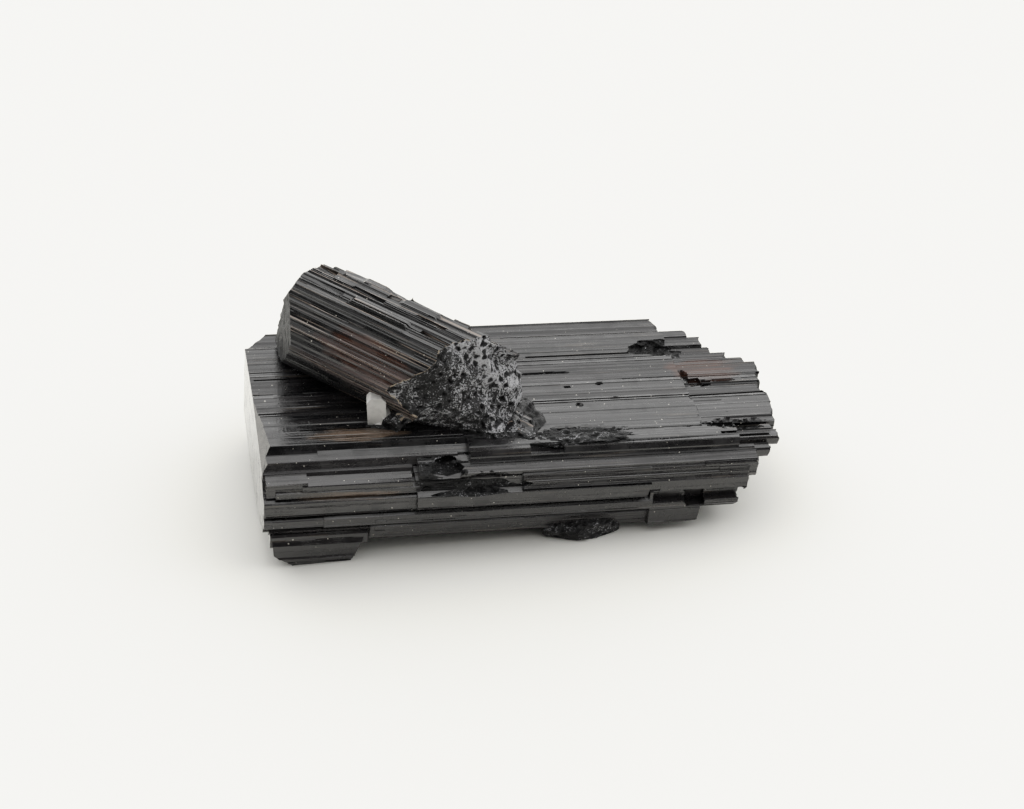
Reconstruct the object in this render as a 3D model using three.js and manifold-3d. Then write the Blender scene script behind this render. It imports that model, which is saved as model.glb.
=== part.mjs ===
// A black tourmaline (schorl) specimen, all grown together: a flat striated crystal that lies on three
// low stubs, a hexagonal crystal lying across its left half and broken off in a rough pitted face, and
// a few small crystals beside them.
// Millimetres, +Z up. The shapes are drawn in the main crystal's own frame: x along its axis, y towards
// its back, z = 0 on its flat top. At the end it is pitched onto the surface and centred over the origin.

import * as THREE from "three";
import { mergeVertices } from "three/addons/utils/BufferGeometryUtils.js";
import { ImprovedNoise } from "three/addons/math/ImprovedNoise.js";
import Module from "manifold-3d";

const wasm = await Module();
wasm.setup();

// Driving dimensions, main crystal
const leftEnd = -26.2;
const uncut = leftEnd - 1.5; // rods that reach the left end start here and are cut off there together
const coreRight = 24;
const thickness = 10.8;
const backEdge = 25.2;
const pitchDegrees = 3;
const floorDrop = 12.39; // from the main crystal's frame, once pitched, down to the surface it rests on
const ribPitch = 1.15; // mean width of one lamella on the striated faces
const ribRelief = 0.16;

// Driving dimensions, leaning crystal: a hexagonal prism whose sides bow out a little
const acrossCorners = 13.2;
const acrossFlats = acrossCorners * Math.cos(Math.PI / 6);
const sideBow = 0.3;
const leaningOrigin = [0.9, 0.7, 4.57];
const leaningAxis = [0.73, -0.68, -0.06];
const leaningStart = -34;
const leaningStop = 2;

const noise = new ImprovedNoise();

// A repeatable series of numbers between 0 and 1.
function seeded(seed) {
  let state = seed;
  return () => {
    state = (Math.imul(state, 1664525) + 1013904223) >>> 0;
    return state / 4294967296;
  };
}

function roughness(x, y, z, size) {
  const coarse = noise.noise(x / size, y / size, z / size);
  const fine = noise.noise((2.3 * x) / size + 7, (2.3 * y) / size, (2.3 * z) / size);
  return coarse + 0.5 * fine;
}

// Solids and their joins
function solid(geometry) {
  const bare = geometry.clone();
  bare.deleteAttribute("normal");
  bare.deleteAttribute("uv");
  const merged = mergeVertices(bare, 1e-4);
  return new wasm.Manifold(
    new wasm.Mesh({
      numProp: 3,
      vertProperties: merged.attributes.position.array,
      triVerts: new Uint32Array(merged.index.array),
    }),
  );
}

function joined(solids) {
  return solids.reduce((whole, next) => whole.add(next));
}

// A face built of flat lamellae: each edge of the outline (anticlockwise) is cut into narrow flats
// that step in and out by up to the relief, as the faces along a tourmaline's length do.
function ribbed(outline, pitch, relief, random) {
  const shape = new THREE.Shape();
  const points = [];
  outline.forEach(([u, v], i) => {
    const from = new THREE.Vector2(u, v);
    const to = new THREE.Vector2(...outline[(i + 1) % outline.length]);
    const length = from.distanceTo(to);
    const along = to.clone().sub(from).normalize();
    const inward = new THREE.Vector2(-along.y, along.x);
    const flats = Math.max(1, Math.round(length / pitch));
    points.push(from);
    if (flats < 2) return;
    let start = 0.18 * pitch;
    for (let k = 0; k < flats; k += 1) {
      const share = (k + 1 + 0.5 * (random() - 0.5)) / flats;
      const stop = k === flats - 1 ? length - 0.18 * pitch : share * length;
      const depth = relief * (0.15 + 0.85 * random());
      for (const distance of [start, stop - 0.06]) {
        points.push(from.clone().addScaledVector(along, distance).addScaledVector(inward, depth));
      }
      start = stop + 0.06;
    }
  });
  shape.setFromPoints(points);
  return shape;
}

// The section (y, z) drawn out along x. Each end can lean, by so much per millimetre of y and of z
// from the section's first point.
function drawnOut(shape, from, to, leanFrom = [0, 0], leanTo = [0, 0]) {
  const geometry = new THREE.ExtrudeGeometry(shape, { depth: to - from, bevelEnabled: false, steps: 1 });
  const position = geometry.attributes.position;
  const first = shape.getPoints()[0];
  for (let i = 0; i < position.count; i += 1) {
    const y = position.getX(i);
    const z = position.getY(i);
    const atEnd = position.getZ(i) > 0.5 * (to - from);
    const lean = atEnd ? leanTo : leanFrom;
    const x = (atEnd ? to : from) + lean[0] * (y - first.x) + lean[1] * (z - first.y);
    position.setXYZ(i, x, y, z);
  }
  return solid(geometry);
}

function rod(outline, from, to, seed, options = {}) {
  const { pitch = ribPitch, relief = ribRelief, leanFrom, leanTo } = options;
  return drawnOut(ribbed(outline, pitch, relief, seeded(seed)), from, to, leanFrom, leanTo);
}

// A rod with a box section whose long edges are cut at 30 degrees, its first point at the top.
function bar([y0, y1], [z0, z1], from, to, seed, options = {}) {
  const cut = Math.min(options.cut ?? 0.3, 0.3 * (z1 - z0));
  const outline = [
    [y0 + 0.58 * cut, z1],
    [y0, z1 - cut],
    [y0, z0 + cut],
    [y0 + 0.58 * cut, z0],
    [y1 - 0.58 * cut, z0],
    [y1, z0 + cut],
    [y1, z1 - cut],
    [y1 - 0.58 * cut, z1],
  ];
  return rod(outline, from, to, seed, options);
}

function block([x0, x1], [y0, y1], [z0, z1], turn = 0) {
  const geometry = new THREE.BoxGeometry(x1 - x0, y1 - y0, z1 - z0);
  geometry.rotateZ(THREE.MathUtils.degToRad(turn));
  geometry.translate(0.5 * (x0 + x1), 0.5 * (y0 + y1), 0.5 * (z0 + z1));
  return solid(geometry);
}

// A lump with a broken surface.
function lump(centre, radii, seed, depth = 0.3) {
  const geometry = new THREE.IcosahedronGeometry(1, 3);
  const position = geometry.attributes.position;
  for (let i = 0; i < position.count; i += 1) {
    const [x, y, z] = [position.getX(i), position.getY(i), position.getZ(i)];
    const swell = 1 + depth * roughness(x + seed, y, z, 0.45);
    position.setXYZ(i, x * radii[0] * swell, y * radii[1] * swell, z * radii[2] * swell);
  }
  geometry.translate(...centre);
  return solid(geometry);
}

// The half space beyond the plane through a point, facing along a normal.
function beyond(point, normal, size = 60) {
  const geometry = new THREE.BoxGeometry(size, size, size);
  geometry.translate(0, 0, 0.5 * size);
  const facing = new THREE.Vector3(...normal).normalize();
  geometry.applyQuaternion(new THREE.Quaternion().setFromUnitVectors(new THREE.Vector3(0, 0, 1), facing));
  geometry.translate(...point);
  return solid(geometry);
}

// Main crystal: the core with its flat top, striated all round
function mainCore() {
  const section = [
    [2.2, 0],
    [1.6, -1.1],
    [0.6, -3],
    [-0.9, -4.2],
    [-1.6, -7.9],
    [-0.6, -9.5],
    [6, -thickness],
    [15, -thickness],
    [22.5, -9.2],
    [backEdge - 0.2, -5.2],
    [backEdge, -2.6],
    [22.1, -0.9],
    [21.7, 0],
  ].reverse();
  return rod(section, uncut, coreRight, 11);
}

// Rods along the back edge of the top, a little lower than the plateau, with a groove in front of them.
function backRods() {
  return joined([
    bar([22.05, backEdge], [-2.8, -0.3], uncut, 24, 21, { leanTo: [-0.1, 0] }),
    bar([23.25, backEdge + 0.5], [-4.9, -1.05], -25.2, 20.4, 22),
    bar([22.12, backEdge + 0.2], [-7.45, -4.4], -23.4, 26.2, 23),
    bar([20.47, 23.9], [-9.43, -6.8], uncut, 22.6, 24),
  ]);
}

// The rods have no gaps between them inside.
function heart() {
  const behindLedges = new THREE.Shape();
  behindLedges.setFromPoints(
    [
      [4, -0.6],
      [1.95, -0.6],
      [0.62, -1.3],
      [0.3, -2],
      [-0.15, -2.7],
      [-0.7, -3.5],
      [4, -3.5],
    ].map(([y, z]) => new THREE.Vector2(y, z)),
  );
  return joined([drawnOut(behindLedges, -20, 22), block([18, 27], [0.2, 20.4], [-6.6, -0.98])]);
}

// Front side: where each ledge starts and stops, how its right end leans per millimetre down, and its
// edge as [y, z] points from the top down. It is closed inside the core.
const frontLedges = [
  // left part, above the brownish band
  { from: uncut, to: -4.6, edge: [[1.7, -0.9], [0.45, -1.05], [0.1, -1.9]] },
  { from: uncut, to: -9.7, edge: [[0.5, -1.1], [-0.45, -2.7]] },
  { from: leftEnd + 0.3, to: -21.4, edge: [[-0.2, -2.15], [-1.95, -2.25], [-2, -3.9]] },
  { from: -22, to: -9.9, edge: [[-0.3, -2.45], [-2.1, -2.55], [-2.15, -3.9]] },
  { from: leftEnd + 1.3, to: -9.1, edge: [[-1.5, -3.1], [-2.25, -3.3], [-2.2, -4]] },
  // long grey band right along the specimen, and those under it
  { from: uncut, to: 17.4, lean: 0.25, edge: [[-1.8, -4.25], [-2.4, -4.5], [-2.55, -6.2], [-2.2, -6.4]] },
  { from: uncut, to: -18.9, edge: [[-2.1, -6.7], [-2.5, -6.9], [-2.45, -7.8], [-1.9, -8]] },
  { from: -19.6, to: 23.3, edge: [[-2, -6.5], [-2.6, -6.8], [-2.55, -7.9], [-2, -8.1]] },
  { from: leftEnd + 0.6, to: -10.6, edge: [[-1.5, -8.1], [-2.2, -8.4], [-1.7, -9.1], [-0.6, -9.6]] },
  { from: -14.4, to: 22.8, lean: 0.2, edge: [[-1.6, -7.9], [-2.5, -8.25], [-1.6, -10.5], [0.4, -10.8]] },
  // right part
  { from: -3.4, to: 27.6, edge: [[-0.5, 0], [-1.2, -1.25]] },
  { from: -9.2, to: 29.5, edge: [[-0.9, -1.15], [-2.15, -1.85], [-2.1, -2.3]] },
  { from: 2.4, to: 28.8, lean: 0.3, edge: [[-1.6, -1.95], [-2.35, -2.3], [-2.95, -3.85]] },
  { from: -9.6, to: 3.6, edge: [[-1.1, -2.2], [-1.9, -2.6], [-2.1, -3.9]] },
  { from: -9.4, to: 17.2, lean: 0.35, edge: [[-2, -3.9], [-3, -4.15], [-3.1, -5.75], [-2.2, -6]] },
  { from: 16.4, to: 21.5, edge: [[-1.6, -4], [-2.5, -4.3], [-2.45, -5.3], [-1.4, -5.5]] },
  { from: 20.4, to: 28.3, lean: 0.2, edge: [[-1, -3.9], [-1.6, -4.4], [-1.5, -6.3], [-0.7, -6.6]] },
  { from: 22.9, to: 27.9, lean: 0.1, edge: [[-1, -6.9], [-1.7, -7.2], [-1.6, -8.7], [-0.9, -9.2]] },
];

function frontBands() {
  const inside = 7;
  return joined(
    frontLedges.map(({ from, to, edge, lean = 0 }, i) => {
      const top = [inside, edge[0][1]];
      const bottom = [inside, edge[edge.length - 1][1]];
      const outline = [top, ...edge, bottom];
      return rod(outline, from, to, 41 + i, { pitch: 0.75, relief: 0.09, leanTo: [0, lean] });
    }),
  );
}

// Right end: bundles of rods that stop at different lengths, each with steps below it.
const endBundles = [
  { across: [-2.5, -1], top: -1.9, end: 29.6, deep: 2 },
  { across: [-1.2, 0.1], top: -1.3, end: 31.2, deep: 1.2 },
  { across: [-0.1, 1.5], top: -0.5, end: 32.5, deep: 1.2 },
  { across: [1.3, 2.5], top: -0.35, end: 31.9, deep: 1.8 },
  { across: [2.3, 3.7], top: -0.2, end: 32.6, deep: 2.2 },
  { across: [3.5, 6.2], top: 0, end: 32.8, deep: 2.5 },
  { across: [6, 8.7], top: -0.06, end: 33.2, deep: 2.2 },
  { across: [8.5, 10.6], top: -0.16, end: 32.7, deep: 2.6 },
  { across: [10.4, 12.5], top: 0, end: 33.3, deep: 1.9 },
  { across: [12.3, 14.7], top: -0.1, end: 33.7, deep: 2.6 },
  { across: [14.5, 16], top: -0.3, end: 32.5, deep: 2.1 },
  { across: [15.8, 17.6], top: -0.55, end: 31, deep: 1.9 },
  { across: [17.4, 19.2], top: -0.8, end: 29.3, deep: 1.7 },
  { across: [19, 21], top: -0.45, end: 28.5, deep: 2.2 },
  { across: [20.8, 22.3], top: -0.3, end: 27.1, deep: 2.4 },
];
// Under the top rods: the level each row of rods starts at and how far it reaches at the front.
const lowerRows = [
  { top: -1.5, reach: 30.2 },
  { top: -3.6, reach: 28.9 },
  { top: -5.6, reach: 28 },
  { top: -7.9, reach: 23.4 },
];

function rightEnd() {
  const random = seeded(71);
  const rods = [];
  endBundles.forEach(({ across, top, end, deep }, i) => {
    const leanTo = [0.2 * (random() - 0.5), 0.3 * (random() - 0.3)];
    const from = 24.6 - 3 * random();
    const upper = { pitch: 0.8, cut: 0.25, relief: 0.1, leanTo };
    rods.push(bar(across, [top - deep, top], from, end, 80 + i, upper));
    lowerRows.forEach((row, level) => {
      const z1 = Math.min(row.top, top - 0.4) + 0.7 * random() - 0.6 * (i % 2);
      const z0 = Math.max(z1 - 3, 0.2 * random() - thickness);
      const behind = across[0] > 3 ? 2.4 * random() : 0;
      const to = Math.min(end - 0.5 - random(), row.reach + behind);
      const lower = { pitch: 3, cut: 0.5, leanTo: [0.3 * (random() - 0.5), 0.3 * (random() - 0.3)] };
      rods.push(bar(across, [z0, z1], 19 - 3 * random(), to, 100 + 5 * i + level, lower));
    });
  });
  return joined(rods);
}

// What the surface is resting on: the bundle under the left end, a broken lump and a stub behind.
function supports() {
  const footSection = [
    [-1.6, -9],
    [-2.3, -10.4],
    [-2.2, -12.4],
    [-1.4, -14.6],
    [6.2, -14.6],
    [7.9, -12.2],
    [7.6, -9],
  ];
  const stubSection = [
    [15, -9],
    [15.6, -14],
    [19.4, -14],
    [20.6, -9],
  ];
  const foot = rod(footSection, -25.3, -14.7, 31, { leanFrom: [0, -0.12], leanTo: [0.03, 0.38] });
  const footShelf = bar([-2, 5.6], [-10.9, -9.1], -25.4, -14.6, 32);
  const backStub = rod(stubSection, -7.4, 9.6, 33, { leanFrom: [0.05, -0.7], leanTo: [0, 0.6] });
  const rounded = foot.subtract(beyond([-24.7, 0, -12.4], [-0.62, -0.12, -0.78], 12));
  return joined([rounded, footShelf, backStub, lump([10.1, 0.7, -11.1], [5.1, 3.5, 2.2], 3)]);
}

// Cracks, slots and broken pits in the main crystal
function mainCuts() {
  const cuts = [
    block([3.4, 7.3], [-1.2, 0.3], [-0.7, 0.3]), // slot on the front edge of the top
    block([6.4, 18.9], [17.15, 17.45], [-0.35, 0.2]),
    block([4.2, 22.4], [21.55, 22.2], [-0.7, 0.2]), // groove in front of the back rods
    block([-25.6, -10.5], [14.85, 15.1], [-0.3, 0.2]),
    block([-21.6, -13], [4.6, 4.85], [-0.35, 0.2]),
    block([24.6, 26], [10.2, 11.6], [-0.6, 0.2], 8),
    block([23.4, 33], [8.1, 8.35], [-0.4, 0.2], 1.2),
    block([9.6, 10.4], [10.6, 11], [-0.4, 0.2]),
    block([21.6, 23.8], [-2.9, -1], [-7.9, -6.2]),
    block([17.6, 28.5], [-3.4, -1.55], [-7.2, -5.55]),
    block([25.2, 33], [2.2, 2.5], [-0.8, 0.2]),
    block([25.6, 31.4], [0.4, 0.8], [-1.1, 0.2]),
  ];
  const recess = lump([22.6, 18.1, -0.1], [3.7, 1.7, 1.1], 9, 0.35);
  const frontRecess = lump([-2.8, -2.9, -3.1], [6, 1.1, 1.3], 12, 0.3);
  const leftChips = [
    beyond([leftEnd + 0.2, -2.5, -2.2], [-0.72, -0.69, 0.1], 1.5),
    beyond([leftEnd + 0.3, -2.6, -6.3], [-0.66, -0.74, 0.1], 1.4),
  ];
  const frontHole = lump([-6, -0.8, -1.8], [2.2, 2.2, 0.7], 15, 0.2);
  return joined([...cuts, recess, frontRecess, frontHole, ...leftChips]);
}

// The smooth end faces at the left, the chamfered back corner, and the underside rising to the right
function endFaces() {
  return joined([
    beyond([leftEnd, 0, 0], [-1, 0.012, -0.01]),
    beyond([leftEnd + 0.1, 11, 0], [-1, -0.11, 0.6]),
    beyond([-25.4, 22.3, 0], [-0.76, 0.62, 0.06]),
    beyond([14, 0, -thickness], [0.1, 0, -1], 70),
  ]);
}

// Leaning crystal, drawn along x about its own axis, then laid in place
function bowedHexagon(radius, bow) {
  const points = [];
  for (let k = 0; k < 6; k += 1) {
    const corner = new THREE.Vector2(radius, 0).rotateAround(new THREE.Vector2(), (k * Math.PI) / 3);
    const next = new THREE.Vector2(radius, 0).rotateAround(new THREE.Vector2(), ((k + 1) * Math.PI) / 3);
    const outward = corner.clone().add(next).normalize();
    points.push(corner.toArray());
    for (const share of [0.3, 0.7]) {
      points.push(corner.clone().lerp(next, share).addScaledVector(outward, bow).toArray());
    }
  }
  return points;
}

// A rounded hill at a place (q, p) of the leaning crystal's section.
function hill(q, p, [middleQ, middleP], height, reach) {
  return height * Math.exp(-((q - middleQ) ** 2 + (p - middleP) ** 2) / reach);
}

// How far along the axis the break runs, across (q) and up (p) the section: a leaning plane, chipped
// back at its front corner, hollow under that and spread out where it meets the main crystal.
const breakForm = [
  [[-6.7, 0.3], -5.2, 7],
  [[-4.4, -6.4], -9.5, 9],
  [[0.3, -6.2], 2.9, 11],
];
const breakPits = [
  [[-1.6, -3.4], -1.5, 0.35],
  [[1.8, -3.6], -1.2, 0.35],
  [[-4.6, 0.6], -1, 0.35],
  [[-3.9, -2.4], -0.9, 0.35],
  [[3.6, 2.4], -0.8, 0.35],
  [[0.6, 3.4], -0.7, 0.35],
  [[0.2, 0.2], -0.9, 0.35],
];

function breakDepth(q, p) {
  const plane = -4.6 + 0.36 * q - 0.37 * p;
  const bumps = 0.8 * roughness(q, p, 3, 2.6) + 0.4 * roughness(q, p, 9, 1.1);
  const formed = [...breakForm, ...breakPits].reduce((sum, [middle, height, reach]) => {
    return sum + hill(q, p, middle, height, reach);
  }, 0);
  return plane + bumps + formed;
}

function brokenFace() {
  const width = 1.6 * acrossCorners;
  const cells = 30;
  const geometry = new THREE.BoxGeometry(width, width, 60, cells, cells, 1);
  const position = geometry.attributes.position;
  for (let i = 0; i < position.count; i += 1) {
    const [q, p, end] = [position.getX(i), position.getY(i), position.getZ(i)];
    position.setXYZ(i, end > 0 ? breakDepth(q, p) : leaningStart - 1, q, p);
  }
  return solid(geometry);
}

// A wedge split out along the grain: a thin block, tipped so that it runs out at one end.
function splinter([s, q, p], [long, wide, deep], tip, turn = 0) {
  const geometry = new THREE.BoxGeometry(long, wide, deep);
  geometry.rotateX(THREE.MathUtils.degToRad(6 * turn));
  geometry.rotateY(THREE.MathUtils.degToRad(tip));
  geometry.rotateZ(THREE.MathUtils.degToRad(turn));
  geometry.translate(s, q, p);
  return solid(geometry);
}

function leaningCrystal() {
  const top = 0.5 * acrossFlats + sideBow;
  const corner = 0.5 * acrossCorners;
  const outline = bowedHexagon(corner, sideBow);
  const body = rod(outline, leaningStart, leaningStop, 6, { pitch: 0.8, relief: 0.16 });
  // end faces towards the left: [s, q, p] of a point and the direction each faces
  const endFaces = [
    [[-24.9, -corner, 0], [-1, -1, 0]],
    [[-29.4, 0, 0], [-1, 0.2, 0.35]],
    [[-27, -0.5 * corner, top], [-1, -0.24, 0.5]],
  ];
  const ended = endFaces.reduce((rest, [point, facing]) => rest.subtract(beyond(point, facing)), body);
  // the back of the top is split and broken along the grain
  const splits = [
    splinter([-29.4, 4.9, top - 0.3], [8.4, 6, 2.2], 1, 3),
    splinter([-24.4, 4.4, top - 0.3], [6.8, 4.2, 1.7], -4, -2),
    splinter([-27.2, 0.9, top], [5.2, 0.7, 0.7], 3, 2),
    splinter([-22.4, 2, top], [3.6, 1.1, 0.9], -5, 4),
    splinter([-19.6, 0.2, top], [4.4, 0.8, 0.9], 4, -2),
    splinter([-18.6, 3.6, top - 0.3], [5.6, 2.6, 1.5], 5, -3),
    splinter([-15.4, 1.6, top], [5, 0.9, 0.9], -3, 3),
    splinter([-13, 4.3, top - 0.4], [5.6, 2.8, 1.4], 3, 2),
    splinter([-11.4, 0.4, top], [4, 0.6, 0.7], 4, -3),
    splinter([-9.3, 2.9, top - 0.1], [4.6, 1.4, 1.1], -4, 2),
    splinter([-24.2, -1.7, top], [4.8, 0.6, 0.6], 3, 2),
    splinter([-8.6, -1.9, top], [5.4, 0.7, 0.6], -3, -2),
    splinter([-6.2, 4.4, top - 1.3], [4.4, 1.6, 3.2], 0, 12),
  ];
  const slope = { relief: 0.05, leanFrom: [0, 1.6], leanTo: [0, -1.9] };
  const raised = [
    bar([2.1, 3.4], [top - 1.3, top - 0.35], -21.6, -19.2, 61, slope),
    bar([-2.7, -1.3], [top - 0.9, top + 0.05], -20.2, -13.2, 62, slope),
    bar([1, 2.2], [top - 0.9, top + 0.08], -15.8, -11.6, 63, slope),
    bar([3.6, 6.3], [0.1, 2.7], -9, -1.9, 64, { relief: 0.05 }),
  ];
  return ended.subtract(joined(splits)).add(joined(raised));
}

function laidAcross(shape) {
  const along = new THREE.Vector3(...leaningAxis).normalize();
  const across = new THREE.Vector3(-leaningAxis[1], leaningAxis[0], 0).normalize();
  const up = new THREE.Vector3().crossVectors(along, across);
  const matrix = new THREE.Matrix4().makeBasis(along, across, up);
  matrix.setPosition(...leaningOrigin);
  return shape.transform(matrix.elements);
}

// The pale little crystal that stands at the foot of the leaning one, with cut top corners.
function smallCrystal() {
  const [wide, deep, high] = [2.1, 1.5, 4.5];
  const outline = new THREE.Shape([
    new THREE.Vector2(-0.5 * wide, -0.6),
    new THREE.Vector2(0.5 * wide, -0.6),
    new THREE.Vector2(0.5 * wide, high - 1),
    new THREE.Vector2(0.5 * wide - 0.45, high - 0.5),
    new THREE.Vector2(-0.5 * wide + 0.5, high - 0.5),
    new THREE.Vector2(-0.5 * wide, high - 1.1),
  ]);
  const geometry = new THREE.ExtrudeGeometry(outline, { depth: deep, bevelEnabled: false });
  geometry.rotateX(Math.PI / 2);
  geometry.rotateX(THREE.MathUtils.degToRad(6));
  geometry.rotateY(THREE.MathUtils.degToRad(-5));
  geometry.rotateZ(THREE.MathUtils.degToRad(-8));
  geometry.translate(-12.7, 6.6, 0);
  return solid(geometry);
}

// Rough matrix where the two crystals have grown into each other: what is under the leaning crystal is
// broken off with it in one face, the rest is a crust on the main crystal.
function footing() {
  return joined([
    lump([-4.6, 3.9, 0], [5.8, 4, 3.6], 17, 0.25),
    lump([-9.3, 6.3, 0.2], [3.6, 3, 2.6], 18, 0.3),
  ]);
}

function crust() {
  return joined([
    lump([3, 5.4, -0.3], [3, 4.2, 1.2], 19, 0.35),
    lump([-11.4, 5.6, -0.3], [2.4, 1.6, 1], 23, 0.3),
    lump([10.6, 0.9, -0.35], [6.6, 1.2, 0.55], 29, 0.3),
  ]);
}

// Joined, pitched onto the surface, cut flat where it rests and centred over the origin
function specimen() {
  const main = joined([mainCore(), heart(), backRods(), frontBands(), rightEnd()])
    .subtract(endFaces())
    .subtract(mainCuts());
  const brokenOff = laidAcross(leaningCrystal()).add(footing()).intersect(laidAcross(brokenFace()));
  const grown = joined([main, supports(), brokenOff, smallCrystal(), crust()]);
  const pitched = new THREE.Matrix4().makeRotationY(THREE.MathUtils.degToRad(pitchDegrees));
  const resting = grown
    .transform(pitched.elements)
    .subtract(block([-80, 80], [-80, 80], [-floorDrop - 20, -floorDrop]));
  const mesh = resting.getMesh();
  const geometry = new THREE.BufferGeometry();
  geometry.setAttribute("position", new THREE.BufferAttribute(mesh.vertProperties, 3));
  geometry.setIndex(new THREE.BufferAttribute(mesh.triVerts, 1));
  geometry.computeBoundingBox();
  const centre = geometry.boundingBox.getCenter(new THREE.Vector3());
  geometry.translate(-centre.x, -centre.y, -geometry.boundingBox.min.z);
  geometry.computeVertexNormals();
  return geometry;
}

const blackTourmaline = new THREE.MeshStandardMaterial({
  name: "black tourmaline",
  color: 0x16151a,
  roughness: 0.22,
  metalness: 0,
  flatShading: true,
});

const crystal = new THREE.Mesh(specimen(), blackTourmaline);
crystal.name = "tourmaline_crystal";

const root = new THREE.Group();
root.add(crystal);

export default root;
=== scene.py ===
from bisect import bisect_right
from math import cos, radians, sin
from random import Random

import bmesh
import bpy
from mathutils import Matrix, Vector, noise


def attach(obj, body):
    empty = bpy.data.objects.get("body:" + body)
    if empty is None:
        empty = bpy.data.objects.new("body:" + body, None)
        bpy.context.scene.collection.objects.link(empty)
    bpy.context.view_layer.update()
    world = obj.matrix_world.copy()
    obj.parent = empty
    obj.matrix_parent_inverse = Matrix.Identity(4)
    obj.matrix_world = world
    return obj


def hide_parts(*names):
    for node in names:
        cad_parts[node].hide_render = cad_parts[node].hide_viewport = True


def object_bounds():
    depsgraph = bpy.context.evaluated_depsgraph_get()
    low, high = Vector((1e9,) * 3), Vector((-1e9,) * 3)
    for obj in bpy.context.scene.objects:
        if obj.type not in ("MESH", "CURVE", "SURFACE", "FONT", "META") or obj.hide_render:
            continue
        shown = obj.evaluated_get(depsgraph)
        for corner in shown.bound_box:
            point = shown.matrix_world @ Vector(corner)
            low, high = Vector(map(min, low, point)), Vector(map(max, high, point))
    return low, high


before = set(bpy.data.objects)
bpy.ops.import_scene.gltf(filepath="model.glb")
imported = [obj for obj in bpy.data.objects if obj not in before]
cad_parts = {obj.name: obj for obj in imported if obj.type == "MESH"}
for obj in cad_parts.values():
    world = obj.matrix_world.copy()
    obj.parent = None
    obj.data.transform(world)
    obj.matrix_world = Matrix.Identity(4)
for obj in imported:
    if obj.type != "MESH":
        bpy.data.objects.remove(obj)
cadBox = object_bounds()
print("frame loaded")

mm = 0.001
nodeName = "tourmaline_crystal"

# the main crystal's own frame, as the solid has it: x along its axis, z = 0 on its flat top
mainPlace = {
    "pitch": 3,  # degrees, right end down
    "origin": (-3.536, -11.3, 12.39),  # mm
}

# the leaning crystal in that frame: x along its axis, y across it to the back, z up
leaningPlace = {
    "axis": (0.73, -0.68, -0.06),
    "origin": (0.9, 0.7, 4.57),
    "acrossCorners": 13.2,
}


def mainMatrix():
    turn = Matrix.Rotation(radians(mainPlace["pitch"]), 4, "Y")
    return Matrix.Translation(Vector(mainPlace["origin"]) * mm) @ turn


def leaningMatrix():
    along = Vector(leaningPlace["axis"]).normalized()
    across = Vector((-along.y, along.x, 0)).normalized()
    turn = Matrix((along, across, along.cross(across))).transposed().to_4x4()
    return mainMatrix() @ Matrix.Translation(Vector(leaningPlace["origin"]) * mm) @ turn


# the photograph looks down on the specimen from in front and a little to the left
viewOf = {
    "position": (-44.8, -202.7, 155.2),  # mm
    "turn": -12.5,  # degrees
    "down": 35,
    "roll": 2,
    "lens": 77.3,
    "nearest": 0.01,  # m
}


def placeCamera():
    data = bpy.data.cameras.new("photo_camera")
    data.lens = viewOf["lens"]
    data.clip_start = viewOf["nearest"]
    camera = bpy.data.objects.new("photo_camera", data)
    bpy.context.scene.collection.objects.link(camera)
    turn = Matrix.Rotation(radians(viewOf["turn"]), 4, "Z")
    tilt = Matrix.Rotation(radians(90 - viewOf["down"]), 4, "X")
    roll = Matrix.Rotation(radians(viewOf["roll"]), 4, "Z")
    camera.matrix_world = Matrix.Translation(Vector(viewOf["position"]) * mm) @ turn @ tilt @ roll
    bpy.context.scene.camera = camera


placeCamera()
print("camera placed")


def linearColour(code):
    values = [int(code[i : i + 2], 16) / 255 for i in (1, 3, 5)]
    return [v / 12.92 if v <= 0.04045 else ((v + 0.055) / 1.055) ** 2.4 for v in values] + [1]


def fill(owner, node, inputs):
    # each input takes a value or the socket of an earlier node
    for name, value in inputs.items():
        if isinstance(value, bpy.types.NodeSocket):
            owner.node_tree.links.new(value, node.inputs[name])
        else:
            node.inputs[name].default_value = value


def addNode(owner, kind, settings=None, inputs=None, output=0):
    node = owner.node_tree.nodes.new(kind)
    for name, value in (settings or {}).items():
        setattr(node, name, value)
    fill(owner, node, inputs or {})
    return node.outputs[output]


# settings that several nodes share, and a colour mix's own socket numbers
multiply = {"operation": "MULTIPLY"}
multiplyAdd = {"operation": "MULTIPLY_ADD"}
colourMix = {"data_type": "RGBA"}
mixFactor, mixUnder, mixOver, mixedColour = 0, 6, 7, 2


def newMaterial(name):
    material = bpy.data.materials.new(name)
    material.use_nodes = True
    return material, material.node_tree.nodes["Principled BSDF"]


# growth lamellae of the prism faces, in mm: how wide, how deep, how long each run is before it steps,
# how often it steps and how far a lamella may tilt
lamellae = {
    "main": {
        "facings": (0, 90),  # degrees round the axis, from the back upwards
        "width": 0.55,
        "depth": 0.1,
        "run": 2.8,
        "broken": 0.2,
        "slope": 0.25,
    },
    "leaning": {
        "facings": (30, 90, 150),
        "width": 0.34,
        "depth": 0.08,
        "run": 3,
        "broken": 0.1,
        "slope": 0.5,
    },
    "top": 90,  # degrees, the facing of the flat top
    "riser": 0.05,  # width of the step between two lamellae
    "topShare": 0.3,  # the flat top is smoother than the sides
    "ledgesBelow": -0.8,  # ledges lower than this slope down to the front
    "ledgeTilt": 0.3,
    "sideways": 0.5,  # a face that looks along the crystal more than this is an end
    "spacing": (0.35, 1.3),  # shortest step, and how much longer it may be, as shares of the mean
    "seed": 7,
}

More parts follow.
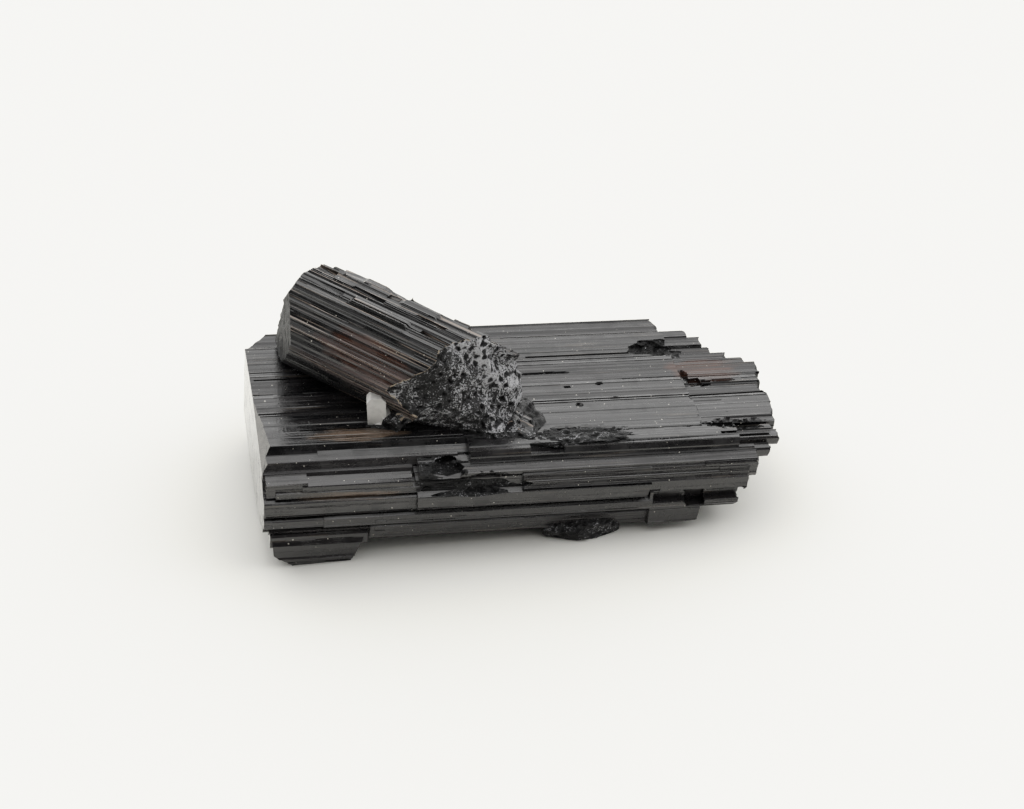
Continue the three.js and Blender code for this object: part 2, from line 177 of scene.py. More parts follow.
# places of crust and matrix in the main crystal's frame: middle and reach in mm
crustPlaces = [
    {"middle": (-5, 5, 1), "reach": (9.5, 5.6, 5)},
    {"middle": (3, 5.4, -0.3), "reach": (3.8, 4.6, 2.2)},
    {"middle": (10.6, 0.9, 0), "reach": (8.4, 1.7, 1)},
    {"middle": (22.6, 18.1, -0.5), "reach": (4, 2.2, 1.6)},
    {"middle": (-2.8, -2.6, -3.1), "reach": (6.8, 1.6, 1.7)},
    {"middle": (-6, -0.8, -1.8), "reach": (2.6, 2.6, 1)},
    {"middle": (10.1, 0.7, -11), "reach": (5.8, 4.4, 2.9)},
]
# the pale little crystal in the same frame
littleCrystal = {"middle": (-12.9, 5.9, 2.1), "reach": (1.5, 1.5, 2.6)}

# where each finish begins and ends: places in mm in the crystals' own frames, facings as the cosine
# between a face and an axis
borders = {
    "littleUpwards": -0.25,
    "leaningWidth": 0.47,  # less than this share of its width across corners is the leaning crystal
    "leaningEnds": (-34, 2),
    "leaningAbove": 0.3,  # the main crystal's top
    "breakSlant": (-0.36, 0.37),  # how far the break leans back to the side and upwards
    "breakFrom": -7,  # how far back it reaches, measured square to it
    "chippedFrom": -15,  # and where the crystal is chipped
    "chippedBelow": -3,
    "breakFacing": 0.15,
    "leftEnd": -22,  # the leaning crystal's rough end lies beyond
    "leftEndFacing": -0.4,
    "crumblingFacing": 0.5,  # crust that faces as the break does, above this, is broken like it
    "crumblingAbove": 1,
    "smoothEnd": -24.5,  # the main crystal's ends lie beyond
    "steppedEnd": 20,
    "endFacing": 0.7,
    "largestFacet": 2.2,  # mm2, larger facets are grown faces
    "rimUpTo": 0.5,  # the break's painted rim highlight ends there
    "besideRim": 0.5,  # what the points next to it get, where the rim's own have 1
}

# broken surfaces are cut finer and pushed in and out, in mm
relief = {
    "break": {"grain": 0.42, "crumbs": 0.07, "pits": 1, "pitted": 0.2},
    "crust": {"grain": 0.5, "crumbs": 0.13, "pits": 0.7, "pitted": 0.12},
    "end": {"grain": 0.8, "crumbs": 0.12, "pits": 0.2, "pitted": 0.1},
    "fineCrumbs": (0.6, 2.3),  # how high and how fine beside the others
    "pitSpread": 0.8,
    "pitShift": (9, 4, 2),
    "hollow": 6,  # how soon a pit is painted dark, as shade in its hollow
    "cuts": 3,  # in each edge of a broken facet
    "endCell": 0.35,  # the leaning crystal's rough end is cut into cells of this size
    "rodCell": 0.5,  # the same for the rods' ends at the right
    "rodChips": (0.12, 0.6, 0.7),  # chipped back by this much, more or less by this, over this grain
    "mergeWithin": 0.002,
    "cutWithin": 0.0001,
    "flatWithin": 0.4,  # degrees
}
# numbers that mark each face's finish, in the order of the material slots
grownMain, grownLeaning, breakFace, crust, pale, smoothEnd, splitEnd = range(7)


def cutFaces(mesh, faces, spots, normal):
    # spots are distances from the origin along the normal, in m
    for spot in spots:
        edges = {e for f in faces for e in f.edges}
        verts = {v for f in faces for v in f.verts}
        geometry = faces + list(edges) + list(verts)
        near = relief["cutWithin"] * mm
        result = bmesh.ops.bisect_plane(
            mesh, geom=geometry, dist=near, plane_co=normal * spot, plane_no=normal
        )
        faces = [part for part in result["geom"] if isinstance(part, bmesh.types.BMFace)]
    return faces


def spread(random, low, high, step):
    # uneven spots between low and high, about one step apart
    shortest, longer = lamellae["spacing"]
    spots = []
    at = low + step * random.random()
    while at < high:
        spots.append(at)
        at += step * (shortest + longer * random.random())
    return spots


def risers(spots):
    half = lamellae["riser"] * mm / 2
    return [spot + side for spot in spots for side in (-half, half)]


def outwards(angle):
    # square to a crystal's axis, in its own frame
    return Vector((0, cos(radians(angle)), sin(radians(angle))))


def striate(mesh, matrix, mark, settings, seed):
    # the sides are cut into long lamellae and these into runs, each sunk to its own depth and tilted a little
    random = Random(seed)
    turn = matrix.to_3x3()
    back = turn.inverted()
    toPlace = matrix.inverted()
    axis = turn @ Vector((1, 0, 0))
    family = mesh.faces.layers.int.new("family")
    finish = mesh.faces.layers.int["finish"]
    facings = [turn @ outwards(angle) for angle in settings["facings"]]
    sides = [f for f in mesh.faces if f[finish] == mark and abs((back @ f.normal).x) < lamellae["sideways"]]
    for face in sides:
        fits = [abs(facing.dot(face.normal)) for facing in facings]
        face[family] = 1 + fits.index(max(fits))
    reach = [axis.dot(v.co) for f in sides for v in f.verts]
    ends = spread(random, min(reach), max(reach), settings["run"] * mm)
    cutFaces(mesh, sides, risers(ends), axis)
    moves = {}
    for number, facing in enumerate(facings, 1):
        across = facing.cross(axis).normalized()
        faces = [f for f in mesh.faces if f[family] == number]
        reach = [across.dot(v.co) for f in faces for v in f.verts]
        edges = spread(random, min(reach), max(reach), settings["width"] * mm)
        faces = cutFaces(mesh, faces, risers(edges), across)
        limits = [min(reach)] + edges + [max(reach)]
        for side in (1, -1):
            deepest = settings["depth"] * mm
            flatTop = mark == grownMain and settings["facings"][number - 1] == lamellae["top"] and side == 1
            if flatTop:
                deepest *= lamellae["topShare"]
            depths = {}
            for lamella in range(len(limits)):
                level = random.random()
                slope = settings["slope"] * (2 * random.random() - 1) ** 3
                for stretch in range(len(ends) + 1):
                    if random.random() < settings["broken"]:
                        level = random.random()
                    depths[lamella, stretch] = (deepest * level**2, slope)
            verts = {v for f in faces if side * facing.dot(f.normal) > 0 for v in f.verts}
            for vert in verts:
                lamella = bisect_right(edges, across.dot(vert.co))
                stretch = bisect_right(ends, axis.dot(vert.co))
                sink, slope = depths[lamella, stretch]
                middle = (limits[lamella] + limits[min(lamella + 1, len(edges) + 1)]) / 2
                if flatTop and (toPlace @ vert.co).z < lamellae["ledgesBelow"] * mm:
                    slope -= lamellae["ledgeTilt"]
                offset = -side * facing * (sink + slope * (across.dot(vert.co) - middle))
                moves.setdefault(vert, []).append(offset)
    for vert, offsets in moves.items():
        vert.co += sum(offsets, Vector()) / len(offsets)
    mesh.faces.layers.int.remove(family)
    print("striated", len(mesh.faces), "faces")


def within(place, spot):
    return sum(((a - b) / c) ** 2 for a, b, c in zip(place, spot["middle"], spot["reach"])) < 1


def finishInLeaning(face, inLeaning, facing):
    chipped = min(inLeaning.y, inLeaning.z) < borders["chippedBelow"]
    aside, upwards = borders["breakSlant"]
    alongBreak = inLeaning.x + aside * inLeaning.y + upwards * inLeaning.z
    if facing.x > borders["breakFacing"] and alongBreak > borders["chippedFrom" if chipped else "breakFrom"]:
        return breakFace
    if facing.x < borders["leftEndFacing"] and inLeaning.x < borders["leftEnd"]:
        return splitEnd
    return grownLeaning


def finishOf(face, toMain, toLeaning):
    inMain = (toMain @ face.calc_center_median()) / mm
    inLeaning = (toLeaning @ face.calc_center_median()) / mm
    facing = toMain.to_3x3() @ face.normal
    facingLeaning = toLeaning.to_3x3() @ face.normal
    if within(inMain, littleCrystal) and facing.z > borders["littleUpwards"]:
        return pale
    across = max(abs(outwards(angle).dot(inLeaning)) for angle in lamellae["leaning"]["facings"])
    left, right = borders["leaningEnds"]
    inside = across < borders["leaningWidth"] * leaningPlace["acrossCorners"] and left < inLeaning.x < right
    if inside and inMain.z > borders["leaningAbove"]:
        return finishInLeaning(face, inLeaning, facingLeaning)
    small = face.calc_area() < borders["largestFacet"] * mm * mm
    if small and any(within(inMain, spot) for spot in crustPlaces):
        crumbling = facingLeaning.x > borders["crumblingFacing"] and inMain.z > borders["crumblingAbove"]
        return breakFace if crumbling else crust
    if facing.x < -borders["endFacing"] and inMain.x < borders["smoothEnd"]:
        return smoothEnd
    return splitEnd if facing.x > borders["endFacing"] and inMain.x > borders["steppedEnd"] else grownMain


def roughen(mesh, mark, form):
    # crumbs stand proud and pits are sunk in, only where all round is broken too
    finish = mesh.faces.layers.int["finish"]
    hollow = mesh.verts.layers.float["hollow"]
    verts = {v for f in mesh.faces if f[finish] == mark for v in f.verts}
    inner = [v for v in verts if all(f[finish] == mark for f in v.link_faces)]
    height, finer = relief["fineCrumbs"]
    shift = Vector(relief["pitShift"])
    moves = []
    for vert in inner:
        place = vert.co / (form["grain"] * mm)
        crumb = noise.noise(place) + height * noise.noise(place * finer)
        pit = max(0, noise.noise(place * relief["pitSpread"] + shift) - form["pitted"])
        # the pit's depth is kept to paint its colour black, as shade in the hollow
        vert[hollow] = relief["hollow"] * pit
        moves.append(vert.normal * mm * (form["crumbs"] * crumb - form["pits"] * pit))
    for vert, move in zip(inner, moves):
        vert.co += move
    print("roughened", len(inner), "points")


def markRimHighlight(mesh, toLeaning):
    # the sharp rim where the break meets the grown sides, for its pale line, a painted highlight along the
    # edge
    finish = mesh.faces.layers.int["finish"]
    rimHighlight = mesh.verts.layers.float.new("rimHighlight")
    for vert in mesh.verts:
        marks = {f[finish] for f in vert.link_faces}
        between = breakFace in marks and grownLeaning in marks
        if between and (toLeaning @ vert.co).y < borders["rimUpTo"] * mm:
            vert[rimHighlight] = 1
            for edge in vert.link_edges:
                other = edge.other_vert(vert)
                other[rimHighlight] = max(other[rimHighlight], borders["besideRim"])


# chips in the flat top: middle and reach in mm in the main crystal's frame, and how deep
chips = [
    {"middle": (13.85, 11.2), "reach": (0.35, 0.25), "depth": 0.35},
    {"middle": (15.2, 8.2), "reach": (0.5, 0.3), "depth": 0.3},
    {"middle": (10.6, 7.1), "reach": (0.35, 0.3), "depth": 0.3},
    {"middle": (24.4, 12.4), "reach": (0.4, 1.5), "depth": 0.4},
    {"middle": (25.9, 10.6), "reach": (1.3, 0.45), "depth": 0.55},
    {"middle": (28.6, 10.9), "reach": (1.6, 0.25), "depth": 0.3},
    {"middle": (7.9, 13.8), "reach": (3, 0.2), "depth": 0.3},
    # beside the break: no point is sunk there, its cuts only make the break's border finer
    {"middle": (3.6, 4.6), "reach": (2.2, 2.2), "depth": 0.25},
    {"middle": (9.2, 1.9), "reach": (5.6, 1.2), "depth": 0.14},
    {"middle": (28, 2.4), "reach": (3.6, 1), "depth": 0.3},
]
chipping = {
    "cell": 0.17,
    "mostCells": 40,
    "room": 1.35,  # the cells go beyond the reach by this factor
    "facing": 0.8,  # only faces that look up more than this are chipped
    "lowest": -0.75,  # and that lie higher than this
    "ragged": 0.9,  # how far the outline strays, over which grain, and where it ends
    "grain": 0.7,
    "edge": 0.9,
    "floor": (0.8, 0.5, 3),  # share of the depth, how uneven, how fine
}


def chipTop(mesh, toMain, chip):
    # the top is cut into small cells there and those within the ragged outline are sunk
    finish = mesh.faces.layers.int["finish"]
    spans = list(zip(chip["middle"], chip["reach"]))
    room = chipping["room"]

    def near(face):
        if face[finish] != grownMain or (toMain.to_3x3() @ face.normal).z < chipping["facing"]:
            return False
        spots = [(toMain @ v.co) / mm for v in face.verts]
        for axis, (middle, reach) in enumerate(spans):
            along = [spot[axis] for spot in spots]
            if max(along) <= middle - room * reach or min(along) >= middle + room * reach:
                return False
        return max(spot.z for spot in spots) > chipping["lowest"]

    faces = [f for f in mesh.faces if near(f)]
    back = toMain.inverted()
    for direction, (middle, reach) in zip(((1, 0, 0), (0, 1, 0)), spans):
        normal = back.to_3x3() @ Vector(direction)
        start = normal.dot(back.to_translation())
        count = min(chipping["mostCells"], round(2 * room * reach / chipping["cell"]))
        first, width = middle - room * reach, 2 * room * reach
        spots = [start + (first + width * i / count) * mm for i in range(count + 1)]
        faces = cutFaces(mesh, faces, spots, normal)
    cells = set(faces)
    down = back.to_3x3() @ Vector((0, 0, -1))
    share, uneven, fine = chipping["floor"]
    sunk = set()
    for vert in {v for f in faces for v in f.verts}:
        place = (toMain @ vert.co) / mm
        away = sum(((place[axis] - middle) / reach) ** 2 for axis, (middle, reach) in enumerate(spans))
        torn = away + chipping["ragged"] * noise.noise(place / chipping["grain"])
        if torn < chipping["edge"] and all(f in cells or f[finish] == crust for f in vert.link_faces):
            sunk.add(vert)
            vert.co += down * chip["depth"] * mm * (share + uneven * noise.noise(place * fine))
    for face in faces:
        if all(v in sunk for v in face.verts):
            face[finish] = crust
    print("chipped", len(sunk), "points")


def cutIntoCells(mesh, faces, matrix, cell):
    # an end of a crystal is cut both ways across its axis
    for direction in ((0, 1, 0), (0, 0, 1)):
        normal = matrix.to_3x3() @ Vector(direction)
        reach = [normal.dot(v.co) for f in faces for v in f.verts]
        count = int((max(reach) - min(reach)) / (cell * mm))
        faces = cutFaces(mesh, faces, [min(reach) + cell * mm * i for i in range(1, count)], normal)
    return faces


def splitEnds(mesh, toLeaning):
    # the rough ends are cut into small cells, and the rods' edges at the right chipped back
    finish = mesh.faces.layers.int["finish"]
    split = [f for f in mesh.faces if f[finish] == splitEnd]
    left = [f for f in split if (toLeaning @ f.calc_center_median()).x < 0]
    right = [f for f in split if (toLeaning @ f.calc_center_median()).x >= 0]
    cutIntoCells(mesh, left, leaningMatrix(), relief["endCell"])
    right = cutIntoCells(mesh, right, mainMatrix(), relief["rodCell"])
    back = mainMatrix().to_3x3() @ Vector((-1, 0, 0))
    chip, uneven, grain = relief["rodChips"]
    for vert in {v for f in right for v in f.verts}:
        if any(f[finish] == grownMain for f in vert.link_faces):
            vert.co += back * mm * max(0, chip + uneven * noise.noise(vert.co / (grain * mm)))


def buildMesh():
    mesh = bmesh.new()
    mesh.from_mesh(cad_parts[nodeName].data)
    bmesh.ops.remove_doubles(mesh, verts=mesh.verts, dist=relief["mergeWithin"] * mm)
    flat = radians(relief["flatWithin"])
    bmesh.ops.dissolve_limit(mesh, angle_limit=flat, verts=mesh.verts, edges=mesh.edges)
    toMain, toLeaning = mainMatrix().inverted(), leaningMatrix().inverted()
    finish = mesh.faces.layers.int.new("finish")
    for face in mesh.faces:
        face[finish] = finishOf(face, toMain, toLeaning)
    striate(mesh, mainMatrix(), grownMain, lamellae["main"], lamellae["seed"])
    striate(mesh, leaningMatrix(), grownLeaning, lamellae["leaning"], lamellae["seed"] + 1)
    splitEnds(mesh, toLeaning)
    finish = mesh.faces.layers.int["finish"]
    rough = [f for f in mesh.faces if f[finish] in (breakFace, crust)]
    for chip in chips:
        chipTop(mesh, toMain, chip)
    rough = bmesh.ops.triangulate(mesh, faces=rough)["faces"]
    edges = {e for f in rough for e in f.edges}
    bmesh.ops.subdivide_edges(mesh, edges=list(edges), cuts=relief["cuts"], use_grid_fill=True)
    mesh.verts.layers.float.new("hollow")
    for mark, form in ((breakFace, "break"), (crust, "crust"), (splitEnd, "end")):
        roughen(mesh, mark, relief[form])
    markRimHighlight(mesh, toLeaning)
    low, high = cadBox
    for vert in mesh.verts:
        vert.co = [min(max(v, a), b) for v, a, b in zip(vert.co, low, high)]
    return mesh


def placeIn(material, matrix):
    # the piece's place in a crystal's own frame, in mm
    back = matrix.inverted()
    inputs = {
        "Vector": addNode(material, "ShaderNodeTexCoord", output="Object"),
        "Scale": (1 / mm, 1 / mm, 1 / mm),
        "Rotation": back.to_euler(),
        "Location": back.to_translation() / mm,
    }
    return addNode(material, "ShaderNodeMapping", inputs=inputs)


# schorl as grown: black and glassy, drawn out in fine lines along the crystal, so each face breaks up
# into black and pale streaks; the worn ones are greyer and duller
schorl = {
    "black": "#070709",
    "worn": "#272526",
    "brown": "#4b2e22",
    "tan": "#6a5a4c",
    "mauve": "#5c5250",
    "dust": "#a8a49c",
    "ior": 1.64,  # tourmaline 1.62 to 1.65
    "polished": 0.14,
    "dull": 0.42,
}
# fine lines: real striations go down to 0.02 mm, too fine to show, so the widest are drawn
# sizes in mm; edge is where a streak turns pale, in the noise's own 0 to 1
lineWork = {
    "main": {
        "line": 0.3,
        "long": 9,
        "relief": 0.035,
        "band": 1.6,
        "bandRelief": 0.06,
        "pale": "#3b3631",
        "edge": 0.66,
        "worn": 1,
    },
    "leaning": {
        "line": 0.3,
        "long": 16,
        "relief": 0.06,
        "band": 1.1,
        "bandRelief": 0.1,
        "pale": "#7b6f66",
        "edge": 0.61,
        "worn": 0.35,
    },
    "edgeWidth": 0.06,
    "bandLength": 3,  # bands are this many times as long as lines
    "wear": 2.5,
    "grit": 0.22,
    "gritRelief": 0.015,
    # each noise's detail and how rough it is
    "noises": {"lines": (1, 0.5), "bands": (4, 0.65), "wear": (4, 0.6), "grit": (3, 0.6)},
    # which part of each noise is drawn out, and to what
    "toneAt": {"From Min": 0.42, "From Max": 0.68},
    "shareAt": {"From Min": 0.35, "From Max": 0.65, "To Min": 0.15, "To Max": 0.85},
    "dullAt": {"From Min": 0.38, "From Max": 0.66},
}
# dust caught in the striations, in specks of about 0.1 mm, more in some places than in others
dust = {
    "perMillimetre": 1.3,
    "thinned": 0.4,
    "specks": {"From Min": 0.28, "From Max": 0.24},
}
# patches in each crystal's own frame: middle and reach in mm
patches = {
    "main": [
        ("tan", (-15.2, 3.6, 0), (5.2, 1.3, 0.8)),
        ("brown", (27, 13.5, 0), (4.5, 2.8, 1)),
        ("tan", (-17, -1.9, -4), (6, 1, 0.6)),
    ],
    "leaning": [
        # the black strip along the upper front face is painted shade, standing in for the darkening of a
        # curved face
        ("black", (-11, -4.2, 4.3), (15, 1.1, 1.3)),
        ("brown", (-15.5, -5.4, 2.2), (6.5, 2.4, 2.4)),
        ("mauve", (-14, -6.3, -0.7), (12, 1.5, 1.6)),
    ],
    "grain": {"Scale": 1.2, "Detail": 3},
    "drawnOut": (0.3, 1, 1),
    "ragged": 1.2,
    "fades": {"From Min": 1.65, "From Max": 1.35},
}
# the main crystal's wear and tone, along which axis and from and to which place in mm: its flat top is etched
# at the back and crisper at the left, its sides turn paler below the top, and the top mirrors less to the
# back
wearing = {
    "back": ("Y", {"From Min": 12, "From Max": 22, "To Max": 0.08}),
    "left": ("X", {"From Min": -9, "From Max": -16, "To Max": -0.12}),
    "sides": ("Z", {"From Min": -0.6, "From Max": -1.6, "To Max": 1.2}),
    "mirror": ("Y", {"From Min": 5, "From Max": 12, "To Min": 0.5, "To Max": 0.34}),
}


def patchMask(material, place, middle, reach):
    # 1 in the middle of a patch, fading to 0 at its reach, ragged along the grain
    drawn = addNode(material, "ShaderNodeMapping", inputs={"Vector": place, "Scale": patches["drawnOut"]})
    grain = addNode(material, "ShaderNodeTexNoise", inputs={"Vector": drawn, **patches["grain"]})
    shift = [-m / r for m, r in zip(middle, reach)]
    inputs = {"Vector": place, "Location": shift, "Scale": [1 / r for r in reach]}
    local = addNode(material, "ShaderNodeMapping", inputs=inputs)
    away = addNode(material, "ShaderNodeVectorMath", {"operation": "LENGTH"}, {0: local}, "Value")
    torn = addNode(material, "ShaderNodeMath", multiplyAdd, {0: grain, 1: patches["ragged"], 2: away})
    return addNode(material, "ShaderNodeMapRange", inputs={"Value": torn, **patches["fades"]})


def grownSchorl(name, matrix, kind):
    lines = lineWork[kind]
    material, shader = newMaterial(name)
    place = placeIn(material, matrix)
    spans = {
        "lines": (lines["line"], lines["long"]),
        "bands": (lines["band"], lineWork["bandLength"] * lines["long"]),
        "wear": (lineWork["wear"], lineWork["wear"]),
        "grit": (lineWork["grit"], lineWork["grit"]),
    }
    noises = {}
    for key, (size, long) in spans.items():
        detail, rough = lineWork["noises"][key]
        drawn = addNode(material, "ShaderNodeMapping", inputs={"Vector": place, "Scale": (size / long, 1, 1)})
        inputs = {"Vector": drawn, "Scale": 1 / size, "Detail": detail, "Roughness": rough}
        noises[key] = addNode(material, "ShaderNodeTexNoise", inputs=inputs)

    # how worn, how much of a tint shows, and how dull, each from its own noise
    inputs = {"Value": noises["bands"], "To Max": lines["worn"], **lineWork["toneAt"]}
    tone = addNode(material, "ShaderNodeMapRange", inputs=inputs)
    share = addNode(material, "ShaderNodeMapRange", inputs={"Value": noises["lines"], **lineWork["shareAt"]})
    inputs = {"Value": noises["wear"], "To Min": schorl["polished"], "To Max": schorl["dull"]}
    gloss = addNode(material, "ShaderNodeMapRange", inputs={**inputs, **lineWork["dullAt"]})
    if kind == "main":
        worn = {}
        for key, (axis, span) in wearing.items():
            along = addNode(material, "ShaderNodeSeparateXYZ", inputs={"Vector": place}, output=axis)
            worn[key] = addNode(material, "ShaderNodeMapRange", inputs={"Value": along, **span})
        tone = addNode(material, "ShaderNodeMath", multiplyAdd, {0: worn["sides"], 1: share, 2: tone})
        for key in ("back", "left"):
            gloss = addNode(material, "ShaderNodeMath", multiplyAdd, {0: worn[key], 1: share, 2: gloss})
        fill(material, shader, {"Specular IOR Level": worn["mirror"]})

    layers = [(tone, schorl["worn"])]
    for tint, middle, reach in patches[kind]:
        amount = patchMask(material, place, middle, reach)
        # the black strip, painted shade, is laid whole; the tints follow the streaks' share
        if tint != "black":
            amount = addNode(material, "ShaderNodeMath", multiply, {0: amount, 1: share})
        layers.append((amount, schorl[tint]))
    palest = lines["edge"] + lineWork["edgeWidth"]
    inputs = {"Value": noises["lines"], "From Min": lines["edge"], "From Max": palest}
    layers.append((addNode(material, "ShaderNodeMapRange", inputs=inputs), lines["pale"]))
    inputs = {"Vector": place, "Scale": dust["perMillimetre"]}
    cells = addNode(material, "ShaderNodeTexVoronoi", inputs=inputs)
    thin = addNode(material, "ShaderNodeMath", multiplyAdd, {0: noises["wear"], 1: dust["thinned"], 2: cells})
    specks = addNode(material, "ShaderNodeMapRange", inputs={"Value": thin, **dust["specks"]})
    layers.append((specks, schorl["dust"]))
    colour = linearColour(schorl["black"])
    for amount, over in layers:
        inputs = {mixFactor: amount, mixUnder: colour, mixOver: linearColour(over)}
        colour = addNode(material, "ShaderNodeMix", colourMix, inputs, mixedColour)

    normal = None
    bumps = (("bands", lines["bandRelief"]), ("lines", lines["relief"]), ("grit", lineWork["gritRelief"]))
    for key, depth in bumps:
        inputs = {"Height": noises[key], "Distance": depth * mm}
        if normal is not None:
            inputs["Normal"] = normal
        normal = addNode(material, "ShaderNodeBump", inputs=inputs)
    fill(material, shader, {"Base Color": colour, "Roughness": gloss, "Normal": normal, "IOR": schorl["ior"]})
    return material


# schorl broken across: it has no cleavage, so it breaks into glassy crumbs and pits; the pits are painted
# black as shade in the hollows, and the crumbs are pale grey where they are bruised
brokenSchorl = {
    "black": "#050506",
    "crumb": "#a9a9ac",
    # the rim's pale colour is a painted highlight along the break's sharp edge
    "rimHighlight": "#b3a491",
    "noises": {"grain": (0.2, 4), "speck": (0.09, 2), "cloud": (2.6, 3)},  # size in mm, detail
    "rough": 0.65,  # how much of the noises' fine detail shows
    "cloudShare": 0.6,
    "roughness": 0.5,
    "gloss": 0.3,  # less mirror than the grown faces
    # from where the crumbs are bruised, in the noises' own range, and over how much they pale
    # the crust's crumbs pale later than the break's, so it stays darker: partly its own darker crust, partly
    # painted shade for the lump under the crystal
    "crumbsFrom": {"break": 0.8, "crust": 0.9, "splitEnd": 0.92},
    "crumbsOver": 0.13,
    # a paler band runs down across the break, sharp below and fading above, in mm across it
    "bandAcross": (0, 0.8, 0.6),
    "bandRagged": 2.4,
    "bandRises": {"From Min": 2.9, "From Max": 3.7},
    "bandFades": {"From Min": 4.8, "From Max": 6.8, "To Min": 1, "To Max": 0.4},
    "bandLift": 0.13,
    "rimHighlightAt": {"From Min": 0.3, "From Max": 0.6, "To Max": 0.8},
    "hollowAt": {"From Min": 0.1, "From Max": 0.45, "To Max": 0.9},
    "grainRelief": 0.14,  # mm
    "speckRelief": 0.04,
}


def bandHeight(material, place, noises):
    inputs = {0: place, 1: brokenSchorl["bandAcross"]}
    across = addNode(material, "ShaderNodeVectorMath", {"operation": "DOT_PRODUCT"}, inputs, "Value")
    inputs = {0: noises["cloud"], 1: brokenSchorl["bandRagged"], 2: across}
    ragged = addNode(material, "ShaderNodeMath", multiplyAdd, inputs)
    rising = addNode(material, "ShaderNodeMapRange", inputs={"Value": ragged, **brokenSchorl["bandRises"]})
    fading = addNode(material, "ShaderNodeMapRange", inputs={"Value": ragged, **brokenSchorl["bandFades"]})
    return addNode(material, "ShaderNodeMath", multiply, {0: rising, 1: fading})


def crushedSchorl(name, surface):
    material, shader = newMaterial(name)
    place = placeIn(material, leaningMatrix())
    noises = {}
    for key, (size, detail) in brokenSchorl["noises"].items():
        inputs = {"Vector": place, "Scale": 1 / size, "Detail": detail, "Roughness": brokenSchorl["rough"]}
        noises[key] = addNode(material, "ShaderNodeTexNoise", inputs=inputs)
    inputs = {0: noises["cloud"], 1: brokenSchorl["cloudShare"], 2: noises["grain"]}
    height = addNode(material, "ShaderNodeMath", multiplyAdd, inputs)
    if surface == "break":
        band = bandHeight(material, place, noises)
        inputs = {0: band, 1: brokenSchorl["bandLift"], 2: height}
        height = addNode(material, "ShaderNodeMath", multiplyAdd, inputs)
    start = brokenSchorl["crumbsFrom"][surface]
    inputs = {"Value": height, "From Min": start, "From Max": start + brokenSchorl["crumbsOver"]}
    layers = [(addNode(material, "ShaderNodeMapRange", inputs=inputs), brokenSchorl["crumb"])]
    # pits get painted shade, black in the hollows; the break's rim gets a painted highlight
    for key, over in (("rimHighlight", "rimHighlight"), ("hollow", "black")):
        if key == "hollow" or surface == "break":
            mark = addNode(material, "ShaderNodeAttribute", {"attribute_name": key}, output="Fac")
            span = brokenSchorl[key + "At"]
            amount = addNode(material, "ShaderNodeMapRange", inputs={"Value": mark, **span})
            layers.append((amount, brokenSchorl[over]))
    colour = linearColour(brokenSchorl["black"])
    for amount, over in layers:
        inputs = {mixFactor: amount, mixUnder: colour, mixOver: linearColour(over)}
        colour = addNode(material, "ShaderNodeMix", colourMix, inputs, mixedColour)
    coarse = {"Height": noises["grain"], "Distance": brokenSchorl["grainRelief"] * mm}
    normal = addNode(material, "ShaderNodeBump", inputs=coarse)
    fine = {"Height": noises["speck"], "Distance": brokenSchorl["speckRelief"] * mm, "Normal": normal}
    inputs = {
        "Base Color": colour,
        "Normal": addNode(material, "ShaderNodeBump", inputs=fine),
        "Roughness": brokenSchorl["roughness"],
        "IOR": schorl["ior"],
        "Specular IOR Level": brokenSchorl["gloss"],
    }
    fill(material, shader, inputs)
    return material


# smooth faces under a thin grey film: the end face is dark from its own side, but seen almost along
# it mirrors the white ground, duller in smudges; the little crystal is an even light grey
filmed = {
    "end": {"film": "#262523", "thin": "#55524f", "roughness": (0.3, 0.12), "coat": 0.6},
    "little": {"film": "#cbc9c6", "thin": "#e0dedb", "roughness": (0.3, 0.3), "coat": 0},
    "smudges": {"Scale": 1 / 1.6, "Detail": 5, "Roughness": 0.6},  # 1.6 mm apart
    "smudgeAt": {"From Min": 0.36, "From Max": 0.56},
    "relief": 0.025,  # mm
}


def filmedSchorl(name, finish):
    material, shader = newMaterial(name)
    place = placeIn(material, mainMatrix())
    smudges = addNode(material, "ShaderNodeTexNoise", inputs={"Vector": place, **filmed["smudges"]})
    amount = addNode(material, "ShaderNodeMapRange", inputs={"Value": smudges, **filmed["smudgeAt"]})
    film, thin = linearColour(finish["film"]), linearColour(finish["thin"])
    mixing = {mixFactor: amount, mixUnder: film, mixOver: thin}
    dullest, glossiest = finish["roughness"]
    span = {"To Min": dullest, "To Max": glossiest, **filmed["smudgeAt"]}
    bumps = {"Height": smudges, "Distance": filmed["relief"] * mm}
    inputs = {
        "Base Color": addNode(material, "ShaderNodeMix", colourMix, mixing, mixedColour),
        "Roughness": addNode(material, "ShaderNodeMapRange", inputs={"Value": smudges, **span}),
        "Normal": addNode(material, "ShaderNodeBump", inputs=bumps),
        "Coat Weight": finish["coat"],
        "IOR": schorl["ior"],
    }
    fill(material, shader, inputs)
    return material


def buildCrystal():
    mesh = buildMesh()
    finish = mesh.faces.layers.int["finish"]
    for face in mesh.faces:
        face.material_index = face[finish]
        face.smooth = False
    data = bpy.data.meshes.new("black_tourmaline")
    mesh.to_mesh(data)
    mesh.free()
    crystal = bpy.data.objects.new("black_tourmaline", data)
    bpy.context.scene.collection.objects.link(crystal)
    materials = (
        grownSchorl("schorl_main_crystal", mainMatrix(), "main"),
        grownSchorl("schorl_leaning_crystal", leaningMatrix(), "leaning"),
        crushedSchorl("schorl_break", "break"),
        crushedSchorl("schorl_crust", "crust"),
        filmedSchorl("schorl_little_crystal", filmed["little"]),
        filmedSchorl("schorl_smooth_end", filmed["end"]),
        crushedSchorl("schorl_split_end", "splitEnd"),
    )
    for material in materials:
        data.materials.append(material)
    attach(crystal, "root")
    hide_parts(nodeName)
    print("crystal built:", sum(len(p.vertices) - 2 for p in data.polygons), "triangles")


buildCrystal()

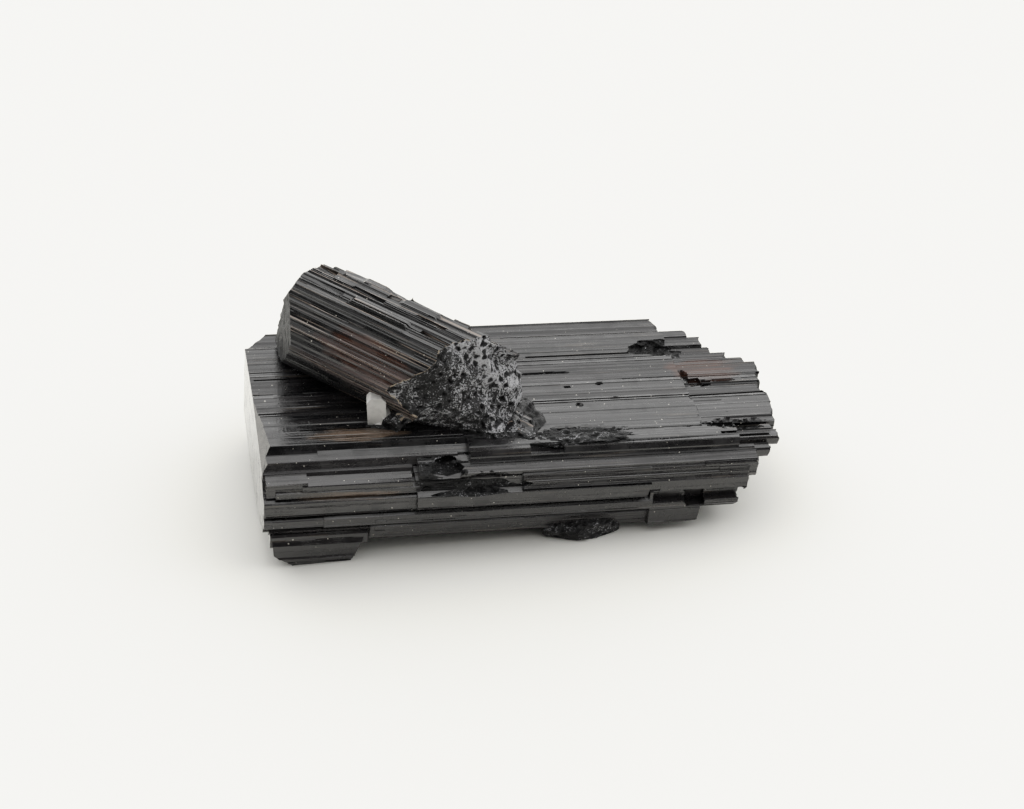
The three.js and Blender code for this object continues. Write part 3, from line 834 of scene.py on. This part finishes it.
# a white card sheet under an even white light from above and behind, little from the camera's side
studio = {
    "sheet": "#f3f2ec",
    "sheetSize": 6,  # m
    "sheetRoughness": 0.9,
    "light": (1, 0.996, 0.985, 1),
    "fades": {"From Min": -0.65, "From Max": 0.35, "To Min": 2.6, "To Max": 0.06},  # behind to front
    "towards": (-0.15, -0.82, -0.55),  # where the light is weakest, seen along the camera's heading
    # the photograph's soft shoulder: darks as they are, brights pressed under paper white
    "curve": ((0, 0), (0.04, 0.065), (0.1, 0.18), (0.25, 0.41), (0.5, 0.7), (0.75, 0.9), (1, 0.935)),
    "whiteLevel": 2,
}


def layFloor():
    mesh = bmesh.new()
    bmesh.ops.create_grid(mesh, x_segments=1, y_segments=1, size=studio["sheetSize"] / 2)
    data = bpy.data.meshes.new("sheet")
    mesh.to_mesh(data)
    mesh.free()
    sheet = bpy.data.objects.new("sheet", data)
    bpy.context.scene.collection.objects.link(sheet)
    material, shader = newMaterial("matt_card")
    finish = {"Base Color": linearColour(studio["sheet"]), "Roughness": studio["sheetRoughness"]}
    fill(material, shader, finish)
    data.materials.append(material)


def lightStudio():
    world = bpy.data.worlds.new("studio")
    bpy.context.scene.world = world
    world.use_nodes = True
    background = world.node_tree.nodes["Background"]
    heading = Matrix.Rotation(radians(viewOf["turn"]), 3, "Z")
    weakest = heading @ Vector(studio["towards"]).normalized()
    direction = addNode(world, "ShaderNodeTexCoord", output="Generated")
    inputs = {0: direction, 1: weakest}
    facing = addNode(world, "ShaderNodeVectorMath", {"operation": "DOT_PRODUCT"}, inputs, "Value")
    smooth = {"interpolation_type": "SMOOTHSTEP"}
    level = addNode(world, "ShaderNodeMapRange", smooth, {"Value": facing, **studio["fades"]})
    fill(world, background, {"Strength": level, "Color": studio["light"]})


def setTone():
    view = bpy.context.scene.view_settings
    view.view_transform = "Standard"
    view.use_curve_mapping = True
    mapping = view.curve_mapping
    mapping.white_level = [studio["whiteLevel"]] * 3
    mapping.extend = "HORIZONTAL"
    curve = mapping.curves[3]  # the one for all three colours
    first, *between, last = studio["curve"]
    curve.points[0].location = first
    curve.points[1].location = last
    for spot in between:
        curve.points.new(*spot)
    mapping.update()


layFloor()
lightStudio()
setTone()
print("studio lit")
